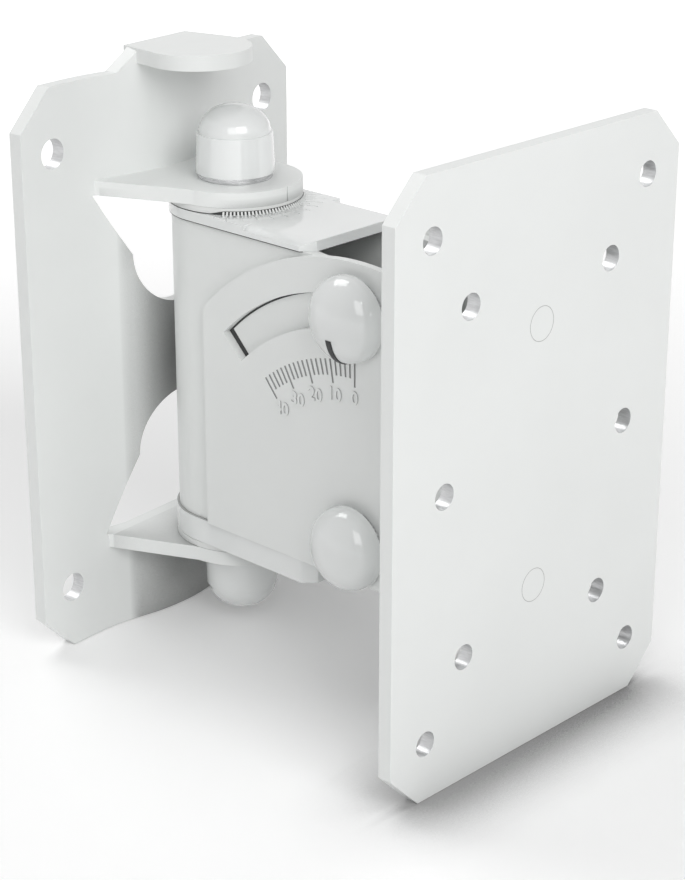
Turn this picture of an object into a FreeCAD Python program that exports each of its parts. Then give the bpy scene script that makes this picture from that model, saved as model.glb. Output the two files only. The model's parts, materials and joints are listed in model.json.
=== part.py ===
import FreeCAD, Part
import os
import re

import Sketcher
from FreeCAD import Placement, Rotation, Vector

# Speaker wall bracket, in millimetres. X points away from the wall, Y to the right hand side
# of someone who faces the wall, Z up. The wall is the plane x = 0 and the wall plate's middle
# is the origin. All that turns with the swivel is drawn straight ahead from the swivel's
# centre line, and then placed on that line and turned by swivel_rest.

SIZES = {
    # Wall plate
    "sheet": 4.0,
    "wall_width": 105.0,
    "wall_height": 158.0,
    "wall_corner": 10.5,
    "wall_hole_across": 83.0,
    "wall_hole_up": 123.0,
    "wall_hole": 8.0,
    "ridge_rise": 5.0,
    "ridge_half_width": 34.0,
    # Round lug that is folded forward from the raised middle of the plate's upper edge
    "crown_rise": 5.8,
    "crown_half_width": 12.0,
    "crown_base_half_width": 19.0,
    "lug_reach": 17.5,
    "lug_radius": 14.5,
    # Ears that are cut out of the wall plate and folded forward
    "swivel_reach": 30.0,
    "ear_radius": 18.0,
    "ear_root_half_width": 28.0,
    "window_end": 13.0,
    "window_end_radius": 16.0,
    "upper_ear_under": 47.5,
    "disc_thickness": 1.7,
    "index_groove": 0.5,
    # Swivel housing with its two covers
    "top_cover_thickness": 2.7,
    "bottom_cover_thickness": 7.0,
    "housing_top": 43.0,
    "housing_bottom": 41.5,
    "housing_half_width": 17.2,
    "housing_wall": 3.0,
    "cover_half_width": 18.0,
    "cover_front": 44.5,
    "cover_corner": 3.2,
    "cover_bevel": 1.6,
    "pivot_rim": 11.5,
    "scale_outer": 24.0,
    "scale_step": 5.0,
    "scale_rib": 0.5,
    # Tilt
    "pivot_forward": 62.0,
    "pivot_below": 30.5,
    "lock_radius": 61.5,
    "slot_width": 9.2,
    "slot_angle": 45.5,
    "cheek_radius": 75.2,
    "cheek_back": 55.0,
    "cheek_below": 10.5,
    "cheek_thickness": 2.2,
    "web_thickness": 2.5,
    "web_half_height": 44.0,
    "tick_radius": 45.0,
    "tick_length": 4.2,
    "long_tick_length": 6.3,
    "tick_width": 0.6,
    "tick_depth": 0.3,
    # Speaker plate
    "plate_forward": 105.0,
    "plate_width": 105.0,
    "plate_height": 158.0,
    "plate_corner": 10.0,
    "plate_hole": 6.6,
    "outer_across": 80.0,
    "outer_up": 127.0,
    "inner_across": 52.6,
    "inner_up": 89.8,
    "middle_across": 69.0,
    "rivet_up": 68.8,
    "rivet_head": 8.8,
    "rivet_shank": 6.0,
    "rivet_tail": 1.6,
    # Bolts, nuts, washers, sleeves and caps
    "bolt_size": 8.0,
    "bolt_gap": 0.05,
    "slide_gap": 0.1,
    "hex_across": 13.0,
    "head_height": 5.3,
    "nut_height": 6.5,
    "thread_end": 1.0,
    "sleeve_wall": 3.0,
    "washer_size": 20.0,
    "washer_thickness": 1.6,
    "cap_gap": 0.3,
    "swivel_cap_size": 21.2,
    "swivel_cap_shoulder": 20.2,
    "swivel_cap_skirt": 10.5,
    "swivel_dome_size": 19.2,
    "swivel_dome_rise": 7.5,
    "tilt_cap_size": 22.2,
    "near_cap_skirt": 1.5,
    "near_dome_rise": 6.8,
    "far_cap_skirt": 3.0,
    "far_dome_rise": 8.2,
    "index_width": 1.8,
    "index_proud": 0.25,
    # Pose in which the bracket is built
    "swivel_rest": 5.0,
}

TILT_LIMIT = 40
TICK_ANGLE = 2
SWIVEL_SCALE_LIMIT = 60
DRAFT_RADIUS = 50

doc = FreeCAD.newDocument("speaker_wall_bracket")
sheet = doc.addObject("Spreadsheet::Sheet", "Sizes")
for row, (alias, value) in enumerate(SIZES.items(), start=1):
    sheet.set("A%d" % row, alias)
    sheet.set("B%d" % row, str(value))
    sheet.setAlias("B%d" % row, alias)
doc.recompute()

WORDS = re.compile(r"\b(%s)\b" % "|".join(SIZES))
UPRIGHT = Rotation()
ACROSS = Rotation(Vector(1, 0, 0), -90)
FORWARD = Rotation(Vector(0, 1, 0), 90)


def rule(text):
    """The expression that reads each named size from the sheet."""
    return WORDS.sub(r"Sizes.\1", text)


def bind(thing, prop, text):
    thing.setExpression(prop, rule(text))


def place(thing, x, y, z, turn=UPRIGHT):
    thing.Placement = Placement(Vector(), turn)
    for axis, text in zip("xyz", (x, y, z)):
        bind(thing, "Placement.Base." + axis, text)
    return thing


def box(name, length, width, height, x, y, z):
    thing = doc.addObject("Part::Box", name)
    bind(thing, "Length", length)
    bind(thing, "Width", width)
    bind(thing, "Height", height)
    return place(thing, x, y, z)


def cylinder(name, radius, height, x, y, z, turn=UPRIGHT):
    thing = doc.addObject("Part::Cylinder", name)
    bind(thing, "Radius", radius)
    bind(thing, "Height", height)
    return place(thing, x, y, z, turn)


def hexagon(name, height, x, y, z, turn=UPRIGHT):
    thing = doc.addObject("Part::Prism", name)
    thing.Polygon = 6
    bind(thing, "Circumradius", "hex_across / sqrt(3)")
    bind(thing, "Height", height)
    return place(thing, x, y, z, turn)


def cone(name, radius, end_radius, height, x, y, z, turn=UPRIGHT):
    thing = doc.addObject("Part::Cone", name)
    bind(thing, "Radius1", radius)
    bind(thing, "Radius2", end_radius)
    bind(thing, "Height", height)
    return place(thing, x, y, z, turn)


def dome(name, radius, rise, x, y, z, turn=UPRIGHT):
    """Half an ellipsoid that stands on its flat side."""
    thing = doc.addObject("Part::Ellipsoid", name)
    bind(thing, "Radius1", rise)
    bind(thing, "Radius2", radius)
    bind(thing, "Radius3", radius)
    thing.Angle1 = 0
    return place(thing, x, y, z, turn)


def prism(name, plane, start, depth, outline):
    """A padded polygon. XY pads run up, YZ pads forward and XZ pads towards -Y from -start."""
    body = doc.addObject("PartDesign::Body", name)
    draft = body.newObject("Sketcher::SketchObject", name + "_outline")
    origin = [f for f in body.Origin.OriginFeatures if f.Role == plane][0]
    draft.AttachmentSupport = [(origin, "")]
    draft.MapMode = "FlatFace"
    bind(draft, "AttachmentOffset.Base.z", start)
    count = len(outline)
    # The corners start on a circle, and the constraints pull each one to its own place
    ring = Part.makeCircle(DRAFT_RADIUS).discretize(count + 1)[:count]
    corners = [Vector(p.x, p.y, 0) for p in ring]
    for i in range(count):
        draft.addGeometry(Part.LineSegment(corners[i], corners[(i + 1) % count]), False)
    for i in range(count):
        draft.addConstraint(Sketcher.Constraint("Coincident", i, 2, (i + 1) % count, 1))
    for i, (across, up) in enumerate(outline):
        for kind, text, guess in (("DistanceX", across, corners[i].x), ("DistanceY", up, corners[i].y)):
            index = draft.addConstraint(Sketcher.Constraint(kind, -1, 1, i, 1, guess))
            draft.setExpression("Constraints[%d]" % index, rule(text))
    pad = body.newObject("PartDesign::Pad", name + "_pad")
    pad.Profile = draft
    bind(pad, "Length", depth)
    return body


def join(name, parts):
    thing = doc.addObject("Part::MultiFuse", name)
    thing.Shapes = parts
    return thing


def shared(name, parts):
    thing = doc.addObject("Part::MultiCommon", name)
    thing.Shapes = parts
    return thing


def cut(name, base, tools):
    thing = doc.addObject("Part::Cut", name)
    thing.Base = base
    thing.Tool = tools[0] if len(tools) == 1 else join(name + "_tools", tools)
    return thing


def group(name, parts):
    thing = doc.addObject("Part::Compound", name)
    thing.Links = parts
    return thing


PIECES = []


def piece(thing, label, turns=False):
    """Name a finished piece. One that turns with the swivel goes onto the swivel's centre line."""
    thing.Label = label
    if turns:
        thing.Placement = Placement(Vector(), Rotation(Vector(0, 0, 1), -1))
        bind(thing, "Placement.Base.x", "swivel_reach")
        bind(thing, "Placement.Rotation.Angle", "-swivel_rest")
    PIECES.append(thing)
    return thing


def corners_of(across, up, corner):
    """A rectangle's outline with its corners cut off at 45 degrees."""
    side, top = across + " / 2", up + " / 2"
    near_side, near_top = "%s - %s" % (side, corner), "%s - %s" % (top, corner)
    return [
        (side, near_top), (near_side, top),
        ("-(%s)" % near_side, top), ("-(%s)" % side, near_top),
        ("-(%s)" % side, "-(%s)" % near_top), ("-(%s)" % near_side, "-(%s)" % top),
        (near_side, "-(%s)" % top), (side, "-(%s)" % near_top),
    ]


def hole_grid(name, size, across, up, start, depth):
    """Four holes through a plate that faces forward."""
    return [
        cylinder("%s_%d" % (name, i), size + " / 2", depth, start,
                 "%d * %s / 2" % (side, across), "%d * %s / 2" % (top, up), FORWARD)
        for i, (side, top) in enumerate(((-1, -1), (-1, 1), (1, -1), (1, 1)))
    ]


def ridge(name, front, bend, hollow_bend):
    """The wall plate's upright ridge, whose round crest runs over into two hollow flanks."""
    tall = "wall_height + crown_rise"
    low = "-wall_height / 2"
    crest_back = "%s + ridge_rise / 2" % front
    half = "ridge_half_width / 2"
    flank = box(name + "_flank", "ridge_rise / 2", "2 * ridge_half_width", tall, front,
                "-ridge_half_width", low)
    hollows = [
        cylinder("%s_hollow_%d" % (name, i), hollow_bend, tall,
                 "%s + %s" % (front, hollow_bend), "%d * ridge_half_width" % side, low)
        for i, side in enumerate((-1, 1))
    ]
    crest = cylinder(name + "_round", bend, tall, "%s + ridge_rise - (%s)" % (front, bend), "0", low)
    limits = box(name + "_limits", "ridge_rise", "ridge_half_width", tall, crest_back, "-" + half, low)
    return [cut(name + "_sides", flank, hollows), shared(name + "_crest", [crest, limits])]


def ear(name, under):
    """A tapered ear with a round end, the swivel bolt's hole and the swivel's index groove."""
    outline = [
        ("sheet / 2", "-ear_root_half_width"), ("swivel_reach", "-ear_radius"),
        ("swivel_reach", "ear_radius"), ("sheet / 2", "ear_root_half_width"),
    ]
    taper = prism(name + "_taper", "XY_Plane", under, "sheet", outline)
    end = cylinder(name + "_end", "ear_radius", "sheet", "swivel_reach", "0", under)
    return [taper, end]


def window(name, top, sign):
    """The opening that a folded ear leaves behind, with sign 1 above the middle and -1 below."""
    shoulder = "%d * (window_end + window_end_radius)" % sign
    outline = [
        ("-ear_root_half_width", top), ("-window_end_radius", shoulder),
        ("window_end_radius", shoulder), ("ear_root_half_width", top),
    ]
    depth = "sheet + ridge_rise"
    taper = prism(name + "_taper", "YZ_Plane", "0", depth, outline)
    end = cylinder(name + "_end", "window_end_radius", depth, "0", "0", shoulder, FORWARD)
    return [taper, end]


# Heights of the stack on the swivel bolt, from the upper ear down
DISC_UNDER = "upper_ear_under - disc_thickness"
LOWER_DISC_TOP = "-housing_bottom - bottom_cover_thickness - slide_gap"
LOWER_EAR_TOP = "-housing_bottom - bottom_cover_thickness - slide_gap - disc_thickness"
LOWER_EAR_UNDER = LOWER_EAR_TOP + " - sheet"


def wall_plate():
    bend = "(ridge_half_width ^ 2 + ridge_rise ^ 2) / (4 * ridge_rise)"
    edge = corners_of("wall_width", "wall_height", "wall_corner")
    flat = prism("wall_flat", "YZ_Plane", "0", "sheet", edge)
    # The middle stands above the plate's upper edge as a crown with sloping shoulders
    top = "wall_height / 2 + crown_rise"
    shoulders = []
    for i, side in enumerate((-1, 1)):
        outline = [
            ("%d * crown_half_width" % side, top),
            ("%d * crown_base_half_width" % side, "wall_height / 2"),
            ("%d * (ridge_half_width + sheet)" % side, "wall_height / 2"),
            ("%d * (ridge_half_width + sheet)" % side, top + " + sheet"),
            ("%d * crown_half_width" % side, top + " + sheet"),
        ]
        depth = "3 * sheet + ridge_rise"
        shoulders.append(prism("crown_shoulder_%d" % i, "YZ_Plane", "-sheet", depth, outline))
    crown = box("crown_back", "sheet", "2 * ridge_half_width", top,
                "0", "-ridge_half_width", "0")
    solid = join("wall_solid", [flat, crown] + ridge("ridge_front", "sheet", bend, bend))
    lug_outline = [
        ("sheet / 2", "-crown_half_width"), ("lug_reach", "-lug_radius"),
        ("lug_reach", "lug_radius"), ("sheet / 2", "crown_half_width"),
    ]
    lug = [
        prism("lug_neck", "XY_Plane", top + " - sheet", "sheet", lug_outline),
        cylinder("lug_end", "lug_radius", "sheet", "lug_reach", "0", top + " - sheet"),
    ]
    hollow = ridge("ridge_back", "0", bend + " - sheet", bend + " + sheet")
    sheet_metal = cut("wall_sheet", solid, hollow + shoulders)
    windows = window("upper_window", "upper_ear_under", 1)
    windows += window("lower_window", LOWER_EAR_TOP, -1)
    screw_holes = hole_grid("wall_hole_tool", "wall_hole", "wall_hole_across", "wall_hole_up",
                            "0", "sheet")
    pierced = cut("wall_pierced", sheet_metal, windows + screw_holes)
    ears = ear("upper_ear", "upper_ear_under") + ear("lower_ear", LOWER_EAR_UNDER)
    folded = join("wall_folded", [pierced] + lug + ears)
    bores = [
        cylinder("ear_bore_%d" % i, "bolt_size / 2 + bolt_gap", "sheet", "swivel_reach", "0", under)
        for i, under in enumerate(("upper_ear_under", LOWER_EAR_UNDER))
    ]
    groove = box("index_groove_tool", "2 * index_groove", "index_groove", "sheet",
                 "swivel_reach + ear_radius - index_groove", "-index_groove / 2", "upper_ear_under")
    piece(cut("wall_plate", folded, bores + [groove]), "wall_plate")


def swivel_discs():
    rings = []
    for i, under in enumerate((DISC_UNDER, LOWER_EAR_TOP)):
        disc = cylinder("disc_%d" % i, "ear_radius", "disc_thickness", "swivel_reach", "0", under)
        bore = cylinder("disc_bore_%d" % i, "bolt_size / 2 + bolt_gap", "disc_thickness",
                        "swivel_reach", "0", under)
        rings.append(cut("disc_ring_%d" % i, disc, [bore]))
    piece(group("swivel_discs", rings), "swivel_discs")


def washer(name, x, y, z, turn):
    ring = cylinder(name + "_disc", "washer_size / 2", "washer_thickness", x, y, z, turn)
    bore = cylinder(name + "_bore", "bolt_size / 2 + bolt_gap", "washer_thickness", x, y, z, turn)
    return cut(name, ring, [bore])


def swivel_hardware():
    """Bolt, nut, washers and caps, which all stay with the wall plate."""
    axis = ("swivel_reach", "0")
    upper_seat = "upper_ear_under + sheet"
    lower_seat = LOWER_EAR_UNDER
    head_top = lower_seat + " - washer_thickness"
    nut_under = upper_seat + " + washer_thickness"
    shank_length = "%s + nut_height + thread_end - (%s)" % (nut_under, head_top)
    head = hexagon("swivel_head", "head_height", *axis, head_top + " - head_height")
    shank = cylinder("swivel_shank", "bolt_size / 2", shank_length, *axis, head_top)
    piece(join("swivel_bolt", [head, shank]), "swivel_bolt")
    nut = hexagon("swivel_nut_body", "nut_height", *axis, nut_under)
    bore = cylinder("swivel_nut_bore", "bolt_size / 2", "nut_height", *axis, nut_under)
    piece(cut("swivel_nut", nut, [bore]), "swivel_nut")
    rings = [
        washer("swivel_washer_0", *axis, upper_seat, UPRIGHT),
        washer("swivel_washer_1", *axis, head_top, UPRIGHT),
    ]
    piece(group("swivel_washers", rings), "swivel_washers")
    down = Rotation(Vector(1, 0, 0), 180)
    for label, start, sign, turn in (
        ("swivel_cap_upper", nut_under, "+", UPRIGHT), ("swivel_cap_lower", head_top, "-", down),
    ):
        shoulder = "%s %s swivel_cap_skirt" % (start, sign)
        skirt = cone(label + "_skirt", "swivel_cap_size / 2", "swivel_cap_shoulder / 2",
                     "swivel_cap_skirt", *axis, start, turn)
        crown = dome(label + "_dome", "swivel_dome_size / 2", "swivel_dome_rise", *axis, shoulder, turn)
        room = cylinder(label + "_room", "hex_across / sqrt(3) + cap_gap",
                        "nut_height + thread_end + cap_gap", *axis, start, turn)
        piece(cut(label, join(label + "_solid", [skirt, crown]), [room]), label)


def housing():
    """A channel with a round back that turns on the swivel bolt and carries the tilt's bolts."""
    tall = "housing_top + housing_bottom"
    low = "-housing_bottom"
    inner = "housing_half_width - housing_wall"
    front = "pivot_forward + pivot_rim"
    back = cylinder("housing_back", "housing_half_width", tall, "0", "0", low)
    outline = [
        ("0", low), (front, low), (front, "housing_top - housing_wall"),
        ("cover_front", "housing_top"), ("0", "housing_top"),
    ]
    sides = prism("housing_sides", "XZ_Plane", "-housing_half_width", "2 * housing_half_width", outline)
    room_back = cylinder("housing_room_back", inner, tall, "0", "0", low)
    room = box("housing_room", front, "2 * (%s)" % inner, tall, "0", "-(%s)" % inner, low)
    bores = [
        cylinder("housing_bore_%d" % i, "bolt_size / 2 + bolt_gap", "2 * housing_half_width",
                 "pivot_forward", "-housing_half_width", height, ACROSS)
        for i, height in enumerate(("-pivot_below", "lock_radius - pivot_below"))
    ]
    shell = cut("housing_shell", join("housing_solid", [back, sides]), [room_back, room] + bores)
    piece(shell, "swivel_housing", turns=True)


def cover_plate(name, under, thick):
    """A flat cover with a round back, turned corners in front and the swivel bolt's hole."""
    back = cylinder(name + "_back", "cover_half_width", thick, "0", "0", under)
    outline = [
        ("0", "-cover_half_width"), ("cover_front - cover_corner", "-cover_half_width"),
        ("cover_front", "-cover_half_width + cover_corner"),
        ("cover_front", "cover_half_width - cover_corner"),
        ("cover_front - cover_corner", "cover_half_width"), ("0", "cover_half_width"),
    ]
    front = prism(name + "_front", "XY_Plane", under, thick, outline)
    bore = cylinder(name + "_bore", "bolt_size / 2 + bolt_gap", thick, "0", "0", under)
    return join(name + "_plate", [back, front]), bore


def top_cover():
    under = "housing_top"
    thick = "top_cover_thickness"
    plate, bore = cover_plate("top_cover", under, thick)
    # Both long edges of the upper face are bevelled in front of the swivel's disc
    bevels = []
    for i, side in enumerate((-1, 1)):
        outline = [
            ("%d * (cover_half_width - 2 * cover_bevel)" % side, under + " + " + thick),
            ("%d * (cover_half_width + cover_bevel)" % side, under + " + " + thick),
            ("%d * (cover_half_width + cover_bevel)" % side, under + " + cover_bevel / 3"),
        ]
        start = "ear_radius + 2 * cover_bevel"
        bevels.append(prism("top_cover_bevel_%d" % i, "YZ_Plane", start, "cover_front", outline))
    # Swivel scale: radial grooves in front of the disc, five degrees apart
    top = under + " + " + thick
    grooves = []
    steps = int(SWIVEL_SCALE_LIMIT / SIZES["scale_step"])
    for i in range(-steps, steps + 1):
        reach = "scale_outer" if i % 2 == 0 else "(scale_outer + ear_radius) / 2"
        groove = box("scale_groove_%d" % (i + steps), reach, "scale_rib", "scale_rib",
                     "0", "0", top + " - scale_rib / 2")
        groove.Placement.Rotation = Rotation(Vector(0, 0, 1), 1)
        angle = "%d * scale_step" % i
        bind(groove, "Placement.Rotation.Angle", angle)
        bind(groove, "Placement.Base.x", "scale_rib / 2 * sin(1 deg * %s)" % angle)
        bind(groove, "Placement.Base.y", "-scale_rib / 2 * cos(1 deg * %s)" % angle)
        grooves.append(groove)
    middle = cylinder("scale_middle", "(scale_outer + ear_radius) / 2 - 2 * cover_bevel", "scale_rib",
                      "0", "0", top + " - scale_rib / 2")
    scale = cut("swivel_scale", join("swivel_scale_grooves", grooves), [middle])
    piece(cut("top_cover", plate, bevels + [scale, bore]), "top_cover", turns=True)


def bottom_cover():
    under = "-housing_bottom - bottom_cover_thickness"
    plate, bore = cover_plate("bottom_cover", under, "bottom_cover_thickness")
    piece(cut("bottom_cover", plate, [bore]), "bottom_cover", turns=True)


def sleeve(label, length, x, y, z, turn):
    """A distance tube round a bolt, which keeps two walls apart when the bolt is tightened."""
    outer = cylinder(label + "_outer", "bolt_size / 2 + bolt_gap + sleeve_wall", length, x, y, z, turn)
    bore = cylinder(label + "_bore", "bolt_size / 2 + bolt_gap", length, x, y, z, turn)
    piece(cut(label, outer, [bore]), label, turns=True)


def cross_bolt(name, height):
    """The bolt, nut, two washers and two caps on a bolt that runs from side to side."""
    x = "pivot_forward"
    cheek_out = "housing_half_width + slide_gap + cheek_thickness"
    seat = cheek_out + " + slide_gap"
    outer = seat + " + washer_thickness"
    toward = Rotation(Vector(1, 0, 0), 90)
    head = hexagon(name + "_head", "head_height", x, "-(%s)" % outer, height, toward)
    shank = cylinder(name + "_shank", "bolt_size / 2", "2 * (%s) + nut_height + thread_end" % outer,
                     x, "-(%s)" % outer, height, ACROSS)
    piece(join(name + "_bolt", [head, shank]), name + "_bolt", turns=True)
    nut = hexagon(name + "_nut_body", "nut_height", x, outer, height, ACROSS)
    bore = cylinder(name + "_nut_bore", "bolt_size / 2", "nut_height", x, outer, height, ACROSS)
    piece(cut(name + "_nut", nut, [bore]), name + "_nut", turns=True)
    rings = [
        washer(name + "_washer_0", x, "-(%s)" % seat, height, toward),
        washer(name + "_washer_1", x, seat, height, ACROSS),
    ]
    piece(group(name + "_washers", rings), name + "_washers", turns=True)
    # The near cap is flatter, because it covers the bolt's head and not the nut
    for side, sign, turn, inside in (
        ("near", "-", toward, "head_height"), ("far", "", ACROSS, "nut_height + thread_end"),
    ):
        label = "%s_cap_%s" % (name, side)
        tall = side + "_cap_skirt"
        skirt = cylinder(label + "_skirt", "tilt_cap_size / 2", tall,
                         x, "%s(%s)" % (sign, outer), height, turn)
        crown = dome(label + "_dome", "tilt_cap_size / 2", side + "_dome_rise", x,
                     "%s(%s + %s)" % (sign, outer, tall), height, turn)
        room = cylinder(label + "_room", "hex_across / sqrt(3) + cap_gap", inside + " + cap_gap",
                        x, "%s(%s)" % (sign, outer), height, turn)
        piece(cut(label, join(label + "_solid", [skirt, crown]), [room]), label, turns=True)
    return outer


def tilt_index(outer, height):
    """The black mark on the lower half of the locking bolt's near cap."""
    toward = Rotation(Vector(1, 0, 0), 90)
    foot = "-(%s + near_cap_skirt)" % outer
    centre = ("pivot_forward", foot, height, toward)
    raised = dome("index_raised", "tilt_cap_size / 2 + index_proud", "near_dome_rise + index_proud",
                  *centre)
    core = dome("index_core", "tilt_cap_size / 2", "near_dome_rise", *centre)
    strip = box("index_strip", "index_width", "2 * near_dome_rise", "tilt_cap_size / 3",
                "pivot_forward - index_width / 2",
                foot + " - 2 * near_dome_rise", "%s - tilt_cap_size / 2 - index_proud" % height)
    piece(shared("tilt_index", [cut("index_skin", raised, [core]), strip]), "tilt_index", turns=True)


def tilt_bracket():
    """A U of sheet: two cheeks with the locking slot and the tilt scale, and a web at the plate."""
    inner = "housing_half_width + slide_gap"
    outer = inner + " + cheek_thickness"
    back = "pivot_forward - cheek_back"
    front = "plate_forward - sheet"
    low = "-pivot_below - cheek_below"
    top = "cheek_radius - pivot_below"
    wide = "2 * (%s)" % outer
    # The whole width in one block, cut to the arc round the pivot
    block = box("cheek_block", "%s - (%s)" % (front, back), wide, "%s - (%s)" % (top, low),
                back, "-(%s)" % outer, low)
    centre = ("pivot_forward", "-(%s)" % outer, "-pivot_below", ACROSS)
    disc = cylinder("cheek_disc", "cheek_radius", wide, *centre)
    web = box("web", "web_thickness", wide, "2 * web_half_height", "%s - web_thickness" % front,
              "-(%s)" % outer, "-web_half_height")
    solid = join("bracket_solid", [shared("bracket_cheeks", [block, disc]), web])
    room = box("bracket_room", "%s - web_thickness - (%s)" % (front, back), "2 * (%s)" % inner,
               "%s + cheek_radius" % top, back, "-(%s)" % inner, low)
    pivot = cylinder("bracket_pivot", "bolt_size / 2 + bolt_gap", wide, *centre)
    # The slot is part of a ring round the pivot, from the lock bolt's own place backwards
    ring = cylinder("slot_ring", "lock_radius + slot_width / 2", wide, *centre)
    core = cylinder("slot_core", "lock_radius - slot_width / 2", wide, *centre)
    sector = doc.addObject("Part::Cylinder", "slot_sector")
    bind(sector, "Radius", "cheek_radius")
    bind(sector, "Height", wide)
    bind(sector, "Angle", "slot_angle")
    backward = Rotation(Vector(0, 0, 1), Vector(-1, 0, 0), Vector(0, -1, 0))
    place(sector, "pivot_forward", outer, "-pivot_below", backward)
    slot = shared("slot_arc", [cut("slot_band", ring, [core]), sector])
    slot_end = cylinder("slot_end", "slot_width / 2", wide,
                        "pivot_forward", "-(%s)" % outer, "lock_radius - pivot_below", ACROSS)
    ticks = tilt_scale(outer)
    rivets = [
        cylinder("web_rivet_%d" % i, "rivet_shank / 2", "web_thickness", front + " - web_thickness", "0",
                 "%d * rivet_up / 2" % side, FORWARD)
        for i, side in enumerate((-1, 1))
    ]
    tools = [room, pivot, slot, slot_end] + ticks + rivets
    piece(cut("tilt_bracket", solid, tools), "tilt_bracket", turns=True)


def tilt_scale(outer):
    """Radial ticks on the near cheek, two degrees apart and longer at the tens."""
    ticks = []
    for i, angle in enumerate(range(0, TILT_LIMIT + 1, TICK_ANGLE)):
        length = "long_tick_length" if angle % 10 == 0 else "tick_length"
        tick = box("tick_%d" % i, "tick_width", "2 * tick_depth", length, "0",
                   "-(%s) - tick_depth" % outer, "0")
        tick.Placement.Rotation = Rotation(Vector(0, 1, 0), -angle)
        foot = "(tick_radius + tick_length - %s)" % length
        lean = "sin(%d deg)" % angle
        rise = "cos(%d deg)" % angle
        bind(tick, "Placement.Base.x",
             "pivot_forward - %s * %s - tick_width / 2 * %s" % (foot, lean, rise))
        bind(tick, "Placement.Base.z",
             "-pivot_below + %s * %s - tick_width / 2 * %s" % (foot, rise, lean))
        ticks.append(tick)
    return ticks


def speaker_plate():
    back = "plate_forward - sheet"
    edge = corners_of("plate_width", "plate_height", "plate_corner")
    flat = prism("plate_flat", "YZ_Plane", back, "sheet", edge)
    holes = hole_grid("outer_hole", "plate_hole", "outer_across", "outer_up", back, "sheet")
    holes += hole_grid("inner_hole", "plate_hole", "inner_across", "inner_up", back, "sheet")
    holes += [
        cylinder("middle_hole_%d" % i, "plate_hole / 2", "sheet", back,
                 "%d * middle_across / 2" % side, "0", FORWARD)
        for i, side in enumerate((-1, 1))
    ]
    sinks = [
        cone("rivet_sink_%d" % i, "rivet_shank / 2", "rivet_head / 2", "sheet", back, "0",
             "%d * rivet_up / 2" % side, FORWARD)
        for i, side in enumerate((-1, 1))
    ]
    piece(cut("speaker_plate", flat, holes + sinks), "speaker_plate", turns=True)


def plate_rivets():
    """Two flush rivets that hold the bracket's web to the back of the speaker plate."""
    back = "plate_forward - sheet"
    inside = back + " - web_thickness"
    rivets = []
    for i, side in enumerate((-1, 1)):
        height = "%d * rivet_up / 2" % side
        head = cone("rivet_head_%d" % i, "rivet_shank / 2", "rivet_head / 2", "sheet",
                    back, "0", height, FORWARD)
        shank = cylinder("rivet_shank_%d" % i, "rivet_shank / 2", "web_thickness",
                         inside, "0", height, FORWARD)
        tail = cylinder("rivet_tail_%d" % i, "rivet_head / 2", "rivet_tail",
                        inside + " - rivet_tail", "0", height, FORWARD)
        rivets.append(join("rivet_%d" % i, [head, shank, tail]))
    piece(group("plate_rivets", rivets), "plate_rivets", turns=True)


wall_plate()
swivel_discs()
swivel_hardware()
housing()
top_cover()
bottom_cover()
sleeve("swivel_sleeve", "housing_top + housing_bottom", "0", "0", "-housing_bottom", UPRIGHT)
INNER_FACE = "(housing_half_width - housing_wall)"
LOCK_HEIGHT = "lock_radius - pivot_below"
sleeve("pivot_sleeve", "2 * " + INNER_FACE, "pivot_forward", "-" + INNER_FACE, "-pivot_below", ACROSS)
sleeve("lock_sleeve", "2 * " + INNER_FACE, "pivot_forward", "-" + INNER_FACE, LOCK_HEIGHT, ACROSS)
cross_bolt("pivot", "-pivot_below")
tilt_index(cross_bolt("lock", LOCK_HEIGHT), LOCK_HEIGHT)
tilt_bracket()
speaker_plate()
plate_rivets()
doc.recompute()

os.makedirs("parts", exist_ok=True)
for thing in doc.Objects:
    if "Invalid" in thing.State or "Error" in thing.State:
        raise RuntimeError("%s is %s" % (thing.Label, thing.State))
for thing in PIECES:
    shape = thing.Shape
    if shape.isNull() or not shape.isValid():
        raise RuntimeError("%s has no valid shape" % thing.Label)
    shape.exportStep("parts/%s.step" % thing.Label)
    print("%s: %d solids, %.0f mm3" % (thing.Label, len(shape.Solids), shape.Volume))
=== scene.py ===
import json
import math

import bmesh
import bpy
import numpy as np
from mathutils import Matrix, Vector


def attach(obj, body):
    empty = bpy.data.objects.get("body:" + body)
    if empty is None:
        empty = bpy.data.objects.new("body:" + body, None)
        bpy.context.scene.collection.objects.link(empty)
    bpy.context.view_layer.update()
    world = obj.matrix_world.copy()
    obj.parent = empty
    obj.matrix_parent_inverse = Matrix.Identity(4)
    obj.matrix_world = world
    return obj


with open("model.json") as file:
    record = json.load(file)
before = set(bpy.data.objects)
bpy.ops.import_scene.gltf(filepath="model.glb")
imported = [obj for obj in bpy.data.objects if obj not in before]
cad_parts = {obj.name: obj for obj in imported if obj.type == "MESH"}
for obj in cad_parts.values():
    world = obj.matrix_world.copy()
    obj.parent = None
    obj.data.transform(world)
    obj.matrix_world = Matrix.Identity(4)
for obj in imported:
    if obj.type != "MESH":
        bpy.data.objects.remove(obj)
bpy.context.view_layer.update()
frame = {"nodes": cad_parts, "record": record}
nodes = frame["nodes"]

# Speaker wall bracket. Metres, in the part's own frame: X away from the wall, Y to the right of
# someone who faces the wall, Z up, and the wall is the plane x = 0.

# The swivel's centre line, and the turn in which the bracket is built
swivel = {"reach": 0.030, "turn": -5.0}


# A point of the swivelling side, given straight ahead of the swivel's centre line
def turned(forward, aside, up):
    return Vector(turnedRows(np.array([[forward, aside, up]]))[0])


# The same for a whole array of points, one to a row
def turnedRows(rows):
    lean = math.radians(swivel["turn"])
    ahead, aside = rows[:, 0], rows[:, 1]
    return np.column_stack((swivel["reach"] + ahead * math.cos(lean) - aside * math.sin(lean),
                            ahead * math.sin(lean) + aside * math.cos(lean), rows[:, 2]))


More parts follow.
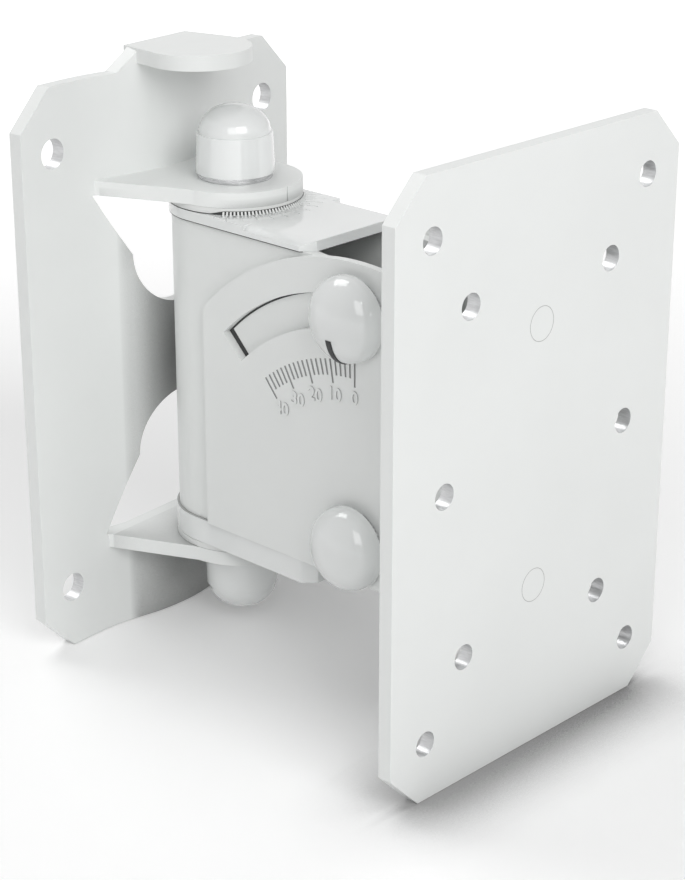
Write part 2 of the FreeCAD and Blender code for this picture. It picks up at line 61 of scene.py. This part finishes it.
def newMaterial(name):
    material = bpy.data.materials.new(name)
    material.use_nodes = True
    tree = material.node_tree
    return material, tree, tree.nodes["Principled BSDF"]


# Noise in the part's own coordinates. Stretch gives its features per metre along each axis.
def noise(tree, stretch, detail, seed):
    coords = tree.nodes.new("ShaderNodeTexCoord")
    shift = tree.nodes.new("ShaderNodeMapping")
    shift.inputs["Scale"].default_value = stretch
    shift.inputs["Location"].default_value = (seed, seed * 0.7, -seed)
    made = tree.nodes.new("ShaderNodeTexNoise")
    made.inputs["Scale"].default_value = 1.0
    made.inputs["Detail"].default_value = detail
    tree.links.new(coords.outputs["Object"], shift.inputs["Vector"])
    tree.links.new(shift.outputs["Vector"], made.inputs["Vector"])
    return made.outputs["Fac"]


def evenly(perMetre):
    return (perMetre, perMetre, perMetre)


# Carries a value over from one range to another, and holds it at the ends
def ranged(tree, source, limits):
    node = tree.nodes.new("ShaderNodeMapRange")
    for socket, value in zip(("From Min", "From Max", "To Min", "To Max"), limits):
        node.inputs[socket].default_value = value
    tree.links.new(source, node.inputs["Value"])
    return node.outputs["Result"]


# Noise carried over to low to high
def spread(tree, source, low, high):
    return ranged(tree, source, (0.3, 0.7, low, high))


# The greater of two values
def greater(tree, first, second):
    node = tree.nodes.new("ShaderNodeMath")
    node.operation = "MAXIMUM"
    tree.links.new(first, node.inputs[0])
    tree.links.new(second, node.inputs[1])
    return node.outputs["Value"]


# One coordinate of the part's own frame, in metres
def along(tree, axis):
    coords = tree.nodes.new("ShaderNodeTexCoord")
    parts = tree.nodes.new("ShaderNodeSeparateXYZ")
    tree.links.new(coords.outputs["Object"], parts.inputs[0])
    return parts.outputs[axis]


# A colour that drifts between two tones of itself with the noise
def drift(tree, source, color, low, high):
    ramp = tree.nodes.new("ShaderNodeValToRGB")
    for stop, position, factor in zip(ramp.color_ramp.elements, (0.3, 0.7), (low, high)):
        stop.position = position
        stop.color = (*[min(1.0, part * factor) for part in color], 1)
    tree.links.new(source, ramp.inputs["Fac"])
    return ramp.outputs["Color"]


def bump(tree, shader, source, height, strength):
    node = tree.nodes.new("ShaderNodeBump")
    node.inputs["Strength"].default_value = strength
    node.inputs["Distance"].default_value = height
    tree.links.new(source, node.inputs["Height"])
    tree.links.new(node.outputs["Normal"], shader.inputs["Normal"])


# 1 where a surface stands free, and less where another one is near: reach in metres, and how
# open it is carried over to the shade
def openness(tree, reach, limits):
    near = tree.nodes.new("ShaderNodeAmbientOcclusion")
    near.inputs["Distance"].default_value = reach
    near.samples = 8
    return ranged(tree, near.outputs["AO"], limits)


# Multiplies the shader's colour by a shade of 0 to 1
def darken(tree, shader, shade):
    tone = shader.inputs["Base Color"].links[0].from_socket
    product = tree.nodes.new("ShaderNodeVectorMath")
    product.operation = "SCALE"
    tree.links.new(tone, product.inputs[0])
    tree.links.new(shade, product.inputs["Scale"])
    tree.links.new(product.outputs["Vector"], shader.inputs["Base Color"])


# Painted or moulded finish: fine orange peel, drifting gloss and a slight drift in tone
def coated(name, facts, seed):
    material, tree, shader = newMaterial(name)
    tone = drift(tree, noise(tree, evenly(28), 3.0, seed), facts["color"], 0.985, 1.01)
    tree.links.new(tone, shader.inputs["Base Color"])
    rough = facts["roughness"]
    gloss = spread(tree, noise(tree, evenly(170), 4.0, seed + 3), rough - 0.035, rough + 0.035)
    tree.links.new(gloss, shader.inputs["Roughness"])
    bump(tree, shader, noise(tree, evenly(facts["peels"]), 2.0, seed + 7), facts["peelHeight"], 0.35)
    shader.inputs["Coat Weight"].default_value = facts.get("gloss", 0.0)
    shader.inputs["Coat Roughness"].default_value = 0.05
    return material


# Bare metal whose fine streaks follow the way it was turned, rolled or drilled
def metal(name, facts, seed):
    material, tree, shader = newMaterial(name)
    shader.inputs["Metallic"].default_value = facts["metallic"]
    lines = noise(tree, facts["streaks"], 5.0, seed)
    tree.links.new(drift(tree, lines, facts["color"], 0.85, 1.12), shader.inputs["Base Color"])
    rough = facts["roughness"]
    tree.links.new(spread(tree, lines, rough - 0.08, rough + 0.10), shader.inputs["Roughness"])
    bump(tree, shader, lines, 0.00001, 0.3)
    return material


# Peels are bumps per metre, and peelHeight is in metres
whiteCoat = coated("whiteCoat", {
    "color": (0.80, 0.815, 0.805), "roughness": 0.36, "peels": 700, "peelHeight": 0.00003,
}, 1.0)
whitePlastic = coated("whitePlastic", {
    "color": (0.79, 0.805, 0.80), "roughness": 0.12, "peels": 500, "peelHeight": 0.000005, "gloss": 0.7,
}, 11.0)
discPlastic = coated("discPlastic", {
    "color": (0.74, 0.75, 0.74), "roughness": 0.45, "peels": 1250, "peelHeight": 0.00001,
}, 21.0)
blackInk = coated("blackInk", {
    "color": (0.016, 0.016, 0.018), "roughness": 0.42, "peels": 2000, "peelHeight": 0.00001,
}, 31.0)
zincSteel = metal("zincSteel", {
    "color": (0.62, 0.62, 0.63), "roughness": 0.24, "metallic": 1.0, "streaks": (300, 300, 2500),
}, 41.0)
# deepShade and grooveShade are painted shade: dark tones put where gaps, joints, grooves and side walls
# fall into shade
deepShade = coated("deepShade", {
    "color": (0.035, 0.036, 0.037), "roughness": 0.60, "peels": 1500, "peelHeight": 0.00001,
}, 36.0)
grooveShade = coated("grooveShade", {
    "color": (0.40, 0.405, 0.40), "roughness": 0.50, "peels": 1500, "peelHeight": 0.00001,
}, 38.0)
boreSteel = metal("boreSteel", {
    "color": (0.62, 0.625, 0.63), "roughness": 0.36, "metallic": 0.7, "streaks": (400, 2500, 2500),
}, 51.0)


# The wall plate's coat, with painted shade that deepens it in the narrow gap behind the housing and
# under the lower ear. Above the upper ear, near the sides and on the back it stays free of that painted
# shade.
def recessedCoat(facts):
    material = coated("recessedCoat", facts, 1.0)
    tree = material.node_tree
    shade = openness(tree, facts["reach"], facts["shade"])
    for axis, limits in facts["free"]:
        shade = greater(tree, shade, ranged(tree, along(tree, axis), limits))
    darken(tree, tree.nodes["Principled BSDF"], shade)
    return material


# The wall plate's coat, darkened by painted shade where other pieces stand near it
wallPlatePaintedShade = recessedCoat({
    "color": (0.80, 0.815, 0.805), "roughness": 0.36, "peels": 700, "peelHeight": 0.00003,
    "reach": 0.024, "shade": (0.36, 0.82, 0.34, 1.0),
    "free": (("Z", (0.044, 0.050, 0.0, 1.0)), ("Y", (-0.042, -0.028, 1.0, 0.0)),
             ("Y", (0.028, 0.042, 0.0, 1.0)), ("X", (0.0055, 0.0070, 1.0, 0.0))),
})
finishes = {"white_coat": whiteCoat, "white_plastic": whitePlastic, "disc_plastic": discPlastic,
            "black_ink": blackInk, "zinc": zincSteel}
print("materials made")


# Radii of the rounded edges, in metres. The two pieces with fine scales get a small one.
edges = {"wall_plate": 0.00045, "speaker_plate": 0.00045, "swivel_housing": 0.0003,
         "bottom_cover": 0.0003, "top_cover": 0.00006, "tilt_bracket": 0.00006, "others": 0.0002}


# Rounds the sharp edges of a CAD node and smooths its shading. A sheet's flat faces are first
# made one face each, which takes out their slivers.
def soften(piece, width, sheet):
    weld = piece.modifiers.new("weld", "WELD")
    weld.merge_threshold = 0.000001
    if sheet:
        flat = piece.modifiers.new("flat", "DECIMATE")
        flat.decimate_type = "DISSOLVE"
        flat.angle_limit = math.radians(0.4)
    bevel = piece.modifiers.new("bevel", "BEVEL")
    bevel.limit_method = "ANGLE"
    bevel.angle_limit = math.radians(32)
    bevel.width = width
    bevel.segments = 3
    bevel.use_clamp_overlap = True
    shade = piece.modifiers.new("shade", "WEIGHTED_NORMAL")
    shade.mode = "FACE_AREA"
    shade.weight = 60
    for face in piece.data.polygons:
        face.use_smooth = True


def dressNodes():
    slots = {row["node"]: row["material_slot"] for row in frame["record"]["subparts"]}
    for name, piece in nodes.items():
        piece.data.materials.clear()
        piece.data.materials.append(wallPlatePaintedShade if name == "wall_plate" else finishes[slots[name]])
        soften(piece, edges.get(name, edges["others"]), name in edges)


dressNodes()
print("CAD nodes dressed")


# Half the spacings of the drilled holes and their radii, in metres
wallHoles = {"aside": 0.0415, "up": 0.0615, "radius": 0.004}
plateHoles = {"outer": (0.040, 0.0635), "inner": (0.0263, 0.0449), "middle": (0.0345, 0.0),
              "forward": 0.103, "radius": 0.0033}


# Gives the walls of a plate's drilled holes their bare metal
def bareBores(name, centres, axis, radius):
    mesh = nodes[name].data
    mesh.materials.append(boreSteel)
    for face in mesh.polygons:
        if abs(face.normal.dot(axis)) > 0.2:
            continue
        for centre in centres:
            offset = face.center - centre
            if (offset - axis * offset.dot(axis)).length < radius + 0.00012:
                face.material_index = 1


def fourOf(aside, up):
    return [(side * aside, top * up) for side in (-1, 1) for top in (-1, 1)]


wallCentres = [Vector((0, aside, up)) for aside, up in fourOf(wallHoles["aside"], wallHoles["up"])]
bareBores("wall_plate", wallCentres, Vector((1, 0, 0)), wallHoles["radius"])
spots = fourOf(*plateHoles["outer"]) + fourOf(*plateHoles["inner"]) + fourOf(*plateHoles["middle"])
plateCentres = [turned(plateHoles["forward"], aside, up) for aside, up in spots]
ahead = (turned(1, 0, 0) - turned(0, 0, 0)).normalized()
bareBores("speaker_plate", plateCentres, ahead, plateHoles["radius"])
print("hole walls bared")


# The tilt's pivot, and the raised figures of its scale on the near cheek: height of a figure,
# how far its strokes are thickened and how far it stands out
tiltScale = {"forward": 0.062, "up": -0.0305, "side": -0.0195, "radius": 0.0399,
             "height": 0.0034, "thicker": 0.00013, "raised": 0.0003, "marks": (0, 10, 20, 30, 40),
             "grooves": (0.042, 0.050), "depth": 0.00004}


# The faces inside the engraved ticks get a darker tone: they lie in the ticks' ring round the
# pivot, and are deeper than the cheek's outer face by more than depth and less than 0.4 millimetres
def shadeTicks(facts):
    mesh = nodes["tilt_bracket"].data
    mesh.materials.append(grooveShade)
    pivot = turned(facts["forward"], facts["side"], facts["up"])
    outward = (turned(0, -1, 0) - turned(0, 0, 0)).normalized()
    low, high = facts["grooves"]
    # Painted shade: the ticks' floors and walls get grooveShade, a darker tone for the shade inside the
    # engraving
    for face in mesh.polygons:
        offset = face.center - pivot
        out = offset.dot(outward)
        if low < (offset - outward * out).length < high and -0.0004 < out < -facts["depth"]:
            face.material_index = 1


shadeTicks(tiltScale)


# Each figure stands upright under its tick, its middle on a circle round the pivot
def scaleFigures(facts):
    made = bmesh.new()
    outward = (turned(0, -1, 0) - turned(0, 0, 0)).normalized()
    basis = Matrix((ahead, Vector((0, 0, 1)), outward)).transposed().to_4x4()
    for degrees in facts["marks"]:
        words = bpy.data.curves.new("figure%d" % degrees, "FONT")
        words.body = str(degrees)
        words.size = facts["height"] / 0.7
        words.align_x = "CENTER"
        words.align_y = "CENTER"
        words.offset = facts["thicker"]
        words.extrude = facts["raised"]
        words.resolution_u = 6
        holder = bpy.data.objects.new("figure", words)
        bpy.context.scene.collection.objects.link(holder)
        bpy.context.view_layer.update()
        shape = bpy.data.meshes.new_from_object(holder)
        angle = math.radians(degrees)
        centre = turned(facts["forward"] - facts["radius"] * math.sin(angle), facts["side"],
                        facts["up"] + facts["radius"] * math.cos(angle))
        shape.transform(Matrix.Translation(centre) @ basis)
        made.from_mesh(shape)
        bpy.data.objects.remove(holder)
        bpy.data.curves.remove(words)
        bpy.data.meshes.remove(shape)
    mesh = bpy.data.meshes.new("scaleFigures")
    made.to_mesh(mesh)
    made.free()
    mesh.materials.append(whiteCoat)
    mesh.materials.append(grooveShade)
    # Painted shade: the figures' side walls get grooveShade, which outlines each figure darker
    for face in mesh.polygons:
        face.material_index = 0 if abs(face.normal.dot(outward)) > 0.7 else 1
    figures = bpy.data.objects.new("scaleFigures", mesh)
    bpy.context.scene.collection.objects.link(figures)
    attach(figures, "speaker_side")


scaleFigures(tiltScale)
print("scale figures made")


# Makes a piece of the swivelling side from points given straight ahead of the swivel
def addPiece(name, rows, faces, material, body):
    mesh = bpy.data.meshes.new(name)
    mesh.from_pydata(turnedRows(rows).tolist(), [], faces)
    mesh.materials.append(material)
    made = bmesh.new()
    made.from_mesh(mesh)
    bmesh.ops.recalc_face_normals(made, faces=made.faces)
    made.to_mesh(mesh)
    made.free()
    piece = bpy.data.objects.new(name, mesh)
    bpy.context.scene.collection.objects.link(piece)
    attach(piece, body)
    return piece


# Faces of a tube whose cross-section of "around" corners is repeated along a path, closed into
# a ring or capped at both ends
def tubeFaces(stations, around, ring):
    faces = []
    for i in range(stations if ring else stations - 1):
        here, there = i * around, (i + 1) % stations * around
        for j in range(around):
            k = (j + 1) % around
            faces.append((here + j, here + k, there + k, there + j))
    if not ring:
        faces.append(tuple(range(around)))
        faces.append(tuple(range((stations - 1) * around, stations * around)))
    return faces


# Outline of the covers, half their width, front and cut corners, and the two joint lines' heights
coverSeam = {"half": 0.0180, "front": 0.0445, "corner": 0.0032, "inside": (0.00008, 0.0007),
             "top": (0.04276, 0.04299), "bottom": (-0.04149, -0.04126)}


# Painted shade in the joint under each cover: a thin dark band whose path is the cover's outline, which
# is half a circle behind and straight sides with cut corners in front, drawn in by a little on all
# sides
def makeSeam(name, heights, material, facts):
    around = np.radians(np.linspace(90, 270, 49))

    def outline(inside):
        half, front, corner = facts["half"] - inside, facts["front"] - inside, facts["corner"]
        back = np.column_stack((half * np.cos(around), half * np.sin(around)))
        ahead = np.array([[front - corner, -half], [front, corner - half],
                          [front, half - corner], [front - corner, half]])
        return np.vstack((back, ahead))

    outer, inner = outline(facts["inside"][0]), outline(facts["inside"][1])
    low, high = heights
    rows = np.empty((len(outer), 4, 3))
    for corner, (path, up) in enumerate(((outer, low), (outer, high), (inner, high), (inner, low))):
        rows[:, corner, :2] = path
        rows[:, corner, 2] = up
    faces = tubeFaces(len(outer), 4, True)
    addPiece(name, rows.reshape(-1, 3), faces, material, "swivel_side")


makeSeam("topCoverSeam", coverSeam["top"], deepShade, coverSeam)
makeSeam("bottomCoverSeam", coverSeam["bottom"], grooveShade, coverSeam)
print("cover seams made")


# Painted shade in the gap behind the slot's edge, a dark band: radii and angles round the tilt's pivot,
# how wide it is along the outer arc and at the straight end, and its two depths between cheek and
# housing
paintedSlotShade = {"radii": (0.0569, 0.0661), "angles": (2.0, 45.5), "arc": 0.0005, "end": 0.0015,
           "depths": (-0.01729, -0.01722)}


# A flat band of painted shade that follows the slot's outer arc and then turns down along its straight
# end
def makeSlotGap(facts):
    low, high = facts["radii"]
    first, last = np.radians(facts["angles"])
    turn = last - facts["end"] / ((low + high) / 2)
    along = np.linspace(first, turn, 40)
    outer = np.column_stack((np.full(40, high), along))
    inner = np.column_stack((np.full(40, high - facts["arc"]), along))
    outer = np.vstack((outer, [[high, last], [low, last]]))
    inner = np.vstack((inner, [[high - facts["arc"], turn], [low, turn]]))

    def placed(polar, aside):
        radius, angle = polar[:, 0], polar[:, 1]
        return np.column_stack((tiltScale["forward"] - radius * np.sin(angle),
                                np.full(len(polar), aside),
                                tiltScale["up"] + radius * np.cos(angle)))

    near, deep = facts["depths"]
    corners = (placed(outer, near), placed(inner, near), placed(inner, deep), placed(outer, deep))
    rows = np.stack(corners, axis=1)
    faces = tubeFaces(len(rows), 4, False)
    addPiece("paintedSlotShade", rows.reshape(-1, 3), faces, deepShade, "speaker_side")


makeSlotGap(paintedSlotShade)
print("slot gap made")


# Teeth of the swivel's click ring in front of the slide disc: their sector and pitch in degrees,
# radii and heights in metres, and the painted shade, a dark band between and behind them
swivelComb = {"sector": 54, "pitch": 3.0, "tooth": 1.5, "radii": (0.01812, 0.0189),
              "heights": (0.0457, 0.0466), "shade": (0.01802, 0.01808), "shadeTop": (0.0459, 0.0467)}


# Each tooth is a small wedge that is high at the disc and runs out on the cover, and the painted shade
# behind them is a dark ring that grows from a thin line at the back to full height in the sector
def makeComb(facts):
    half = facts["sector"]
    middles = np.radians(np.arange(-half, half + 0.1, facts["pitch"]))
    wide = math.radians(facts["tooth"]) / 2
    near, far = facts["radii"]
    foot, crest = facts["heights"]
    rows, faces = [], []
    for middle in middles:
        first = len(rows)
        for side in (middle - wide, middle + wide):
            for radius, up in ((near, foot), (far, foot), (near, crest)):
                rows.append((radius * math.cos(side), radius * math.sin(side), up))
        a, b, c, d, e, f = range(first, first + 6)
        faces += [(a, b, c), (f, e, d), (a, d, e, b), (b, e, f, c), (c, f, d, a)]
    addPiece("swivelTeeth", np.array(rows), faces, whiteCoat, "swivel_side")
    angles = np.radians(np.arange(0, 360, 3))
    signed = np.abs((np.degrees(angles) + 180) % 360 - 180)
    grow = np.clip((half + 12 - signed) / 12, 0, 1)
    inner, outer = facts["shade"]
    low, tall = facts["shadeTop"]
    top = low + (tall - low) * grow
    base = np.full(len(angles), foot + 0.00002)
    ring = np.empty((len(angles), 4, 3))
    for corner, (radius, up) in enumerate(((outer, base), (outer, top), (inner, top), (inner, base))):
        ring[:, corner, 0] = radius * np.cos(angles)
        ring[:, corner, 1] = radius * np.sin(angles)
        ring[:, corner, 2] = up
    bands = tubeFaces(len(angles), 4, True)
    addPiece("combShade", ring.reshape(-1, 3), bands, deepShade, "swivel_side")


makeComb(swivelComb)
print("click ring made")


# Painted shade in the faint joint round each flush rivet: heights of the rivets, and the ring's radii
# and depths
rivetRing = {"heights": (-0.0344, 0.0344), "radii": (0.00432, 0.00448), "depths": (0.10498, 0.10502)}


# Two flat rings of painted shade on the speaker plate's face, each a small square carried round a
# circle
def makeRivetRings(facts):
    turns = np.radians(np.arange(0, 360, 6))
    inner, outer = facts["radii"]
    back, front = facts["depths"]
    rows, faces = [], []
    for height in facts["heights"]:
        ring = np.empty((len(turns), 4, 3))
        section = ((outer, back), (outer, front), (inner, front), (inner, back))
        for corner, (radius, depth) in enumerate(section):
            ring[:, corner, 0] = depth
            ring[:, corner, 1] = radius * np.cos(turns)
            ring[:, corner, 2] = height + radius * np.sin(turns)
        first = 4 * len(turns) * len(rows)
        faces += [tuple(first + corner for corner in face) for face in tubeFaces(len(turns), 4, True)]
        rows.append(ring.reshape(-1, 3))
    addPiece("rivetRings", np.vstack(rows), faces, grooveShade, "speaker_side")


makeRivetRings(rivetRing)
print("rivet rings made")


# 1 for camera, mirror and glass rays, which see the background, and 0 for light
def seesBackground(tree):
    path = tree.nodes.new("ShaderNodeLightPath")
    mirrored = greater(tree, path.outputs["Is Camera Ray"], path.outputs["Is Glossy Ray"])
    return greater(tree, mirrored, path.outputs["Is Transmission Ray"])


# Height and size in metres, and how much white the floor adds for the camera over the light that
# falls on it: lift[0] up to reach[0] from the part, growing to lift[1] at reach[1] and beyond
studioFloor = {"height": -0.0792, "size": 6.0, "color": (0.93, 0.93, 0.93),
               "reach": (0.18, 0.90), "lift": (0.11, 0.80), "foot": 0.028,
               "paintedFootShade": (0.50, 0.95, 0.0, 1.0), "front": (0.100, 0.141, 1.0, 0.0)}


# The floor keeps the shadow and gets painted shade at the speaker plate's foot, and its plain white
# comes from the lift, which lights nothing
def makeFloor(facts):
    half, z = facts["size"] / 2, facts["height"]
    mesh = bpy.data.meshes.new("studioFloor")
    mesh.from_pydata([(-half, -half, z), (half, -half, z), (half, half, z), (-half, half, z)],
                     [], [(0, 1, 2, 3)])
    floor = bpy.data.objects.new("studioFloor", mesh)
    bpy.context.scene.collection.objects.link(floor)
    material, tree, shader = newMaterial("studioPaper")
    shader.inputs["Roughness"].default_value = 0.7
    tone = drift(tree, noise(tree, evenly(2.5), 2.0, 61.0), facts["color"], 0.995, 1.0)
    tree.links.new(tone, shader.inputs["Base Color"])
    # Painted shade on the floor at the speaker plate's foot: its colour is darkened where the plate
    # stands near, and not behind the plate's front
    behind = ranged(tree, along(tree, "X"), facts["front"])
    darken(tree, shader, greater(tree, behind, openness(tree, facts["foot"], facts["paintedFootShade"])))
    shader.inputs["Emission Color"].default_value = (1, 1, 1, 1)
    coords = tree.nodes.new("ShaderNodeTexCoord")
    away = tree.nodes.new("ShaderNodeVectorMath")
    away.operation = "LENGTH"
    tree.links.new(coords.outputs["Object"], away.inputs[0])
    grown = ranged(tree, away.outputs["Value"], facts["reach"] + facts["lift"])
    strength = tree.nodes.new("ShaderNodeMath")
    strength.operation = "MULTIPLY"
    tree.links.new(seesBackground(tree), strength.inputs[0])
    tree.links.new(grown, strength.inputs[1])
    tree.links.new(strength.outputs["Value"], shader.inputs["Emission Strength"])
    mesh.materials.append(material)


# Soft panels: place and size in metres, power in watts
lamps = {
    "keyPanel": {"place": (1.05, -0.42, 0.72), "size": (0.7, 0.7), "power": 6.4},
    "skyPanel": {"place": (-0.55, 0.00, 0.95), "size": (0.6, 0.6), "power": 4.2},
    "sidePanel": {"place": (0.75, -1.00, 0.75), "size": (0.8, 0.8), "power": 4.6},
}


def makeLamp(name, facts):
    lamp = bpy.data.lights.new(name, "AREA")
    lamp.shape = "RECTANGLE"
    lamp.size, lamp.size_y = facts["size"]
    lamp.energy = facts["power"]
    holder = bpy.data.objects.new(name, lamp)
    bpy.context.scene.collection.objects.link(holder)
    holder.location = facts["place"]
    aim = Vector((0.07, 0, 0)) - Vector(facts["place"])
    holder.rotation_mode = "QUATERNION"
    holder.rotation_quaternion = aim.to_track_quat("-Z", "Y")


# Strength of the room's even light, and of the white that the camera sees
room = {"light": 0.32, "shown": 1.0}


def makeRoom(facts):
    world = bpy.data.worlds.new("room")
    bpy.context.scene.world = world
    world.use_nodes = True
    tree = world.node_tree
    back = tree.nodes["Background"]
    back.inputs["Color"].default_value = (1, 1, 1, 1)
    back.inputs["Strength"].default_value = facts["light"]
    shown = tree.nodes.new("ShaderNodeBackground")
    shown.inputs["Color"].default_value = (1, 1, 1, 1)
    shown.inputs["Strength"].default_value = facts["shown"]
    mix = tree.nodes.new("ShaderNodeMixShader")
    tree.links.new(seesBackground(tree), mix.inputs["Fac"])
    tree.links.new(back.outputs["Background"], mix.inputs[1])
    tree.links.new(shown.outputs["Background"], mix.inputs[2])
    tree.links.new(mix.outputs["Shader"], tree.nodes["World Output"].inputs["Surface"])


# Yaw and the downward slope in degrees, lens in millimetres
camera = {"place": (0.41627, -0.43924, 0.20698), "yaw": 128.54, "down": 21.58, "lens": 92.41}


def makeCamera(facts):
    lens = bpy.data.cameras.new("photoCamera")
    lens.lens = facts["lens"]
    lens.sensor_width = 36
    lens.clip_start, lens.clip_end = 0.01, 20
    holder = bpy.data.objects.new("photoCamera", lens)
    bpy.context.scene.collection.objects.link(holder)
    holder.location = facts["place"]
    yaw, down = math.radians(facts["yaw"]), math.radians(facts["down"])
    aim = Vector((math.cos(yaw) * math.cos(down), math.sin(yaw) * math.cos(down), -math.sin(down)))
    holder.rotation_mode = "QUATERNION"
    holder.rotation_quaternion = aim.to_track_quat("-Z", "Y")
    bpy.context.scene.camera = holder


makeFloor(studioFloor)
for lampName, lampFacts in lamps.items():
    makeLamp(lampName, lampFacts)
makeRoom(room)
makeCamera(camera)
bpy.context.scene.view_settings.view_transform = "Standard"
print("studio made")
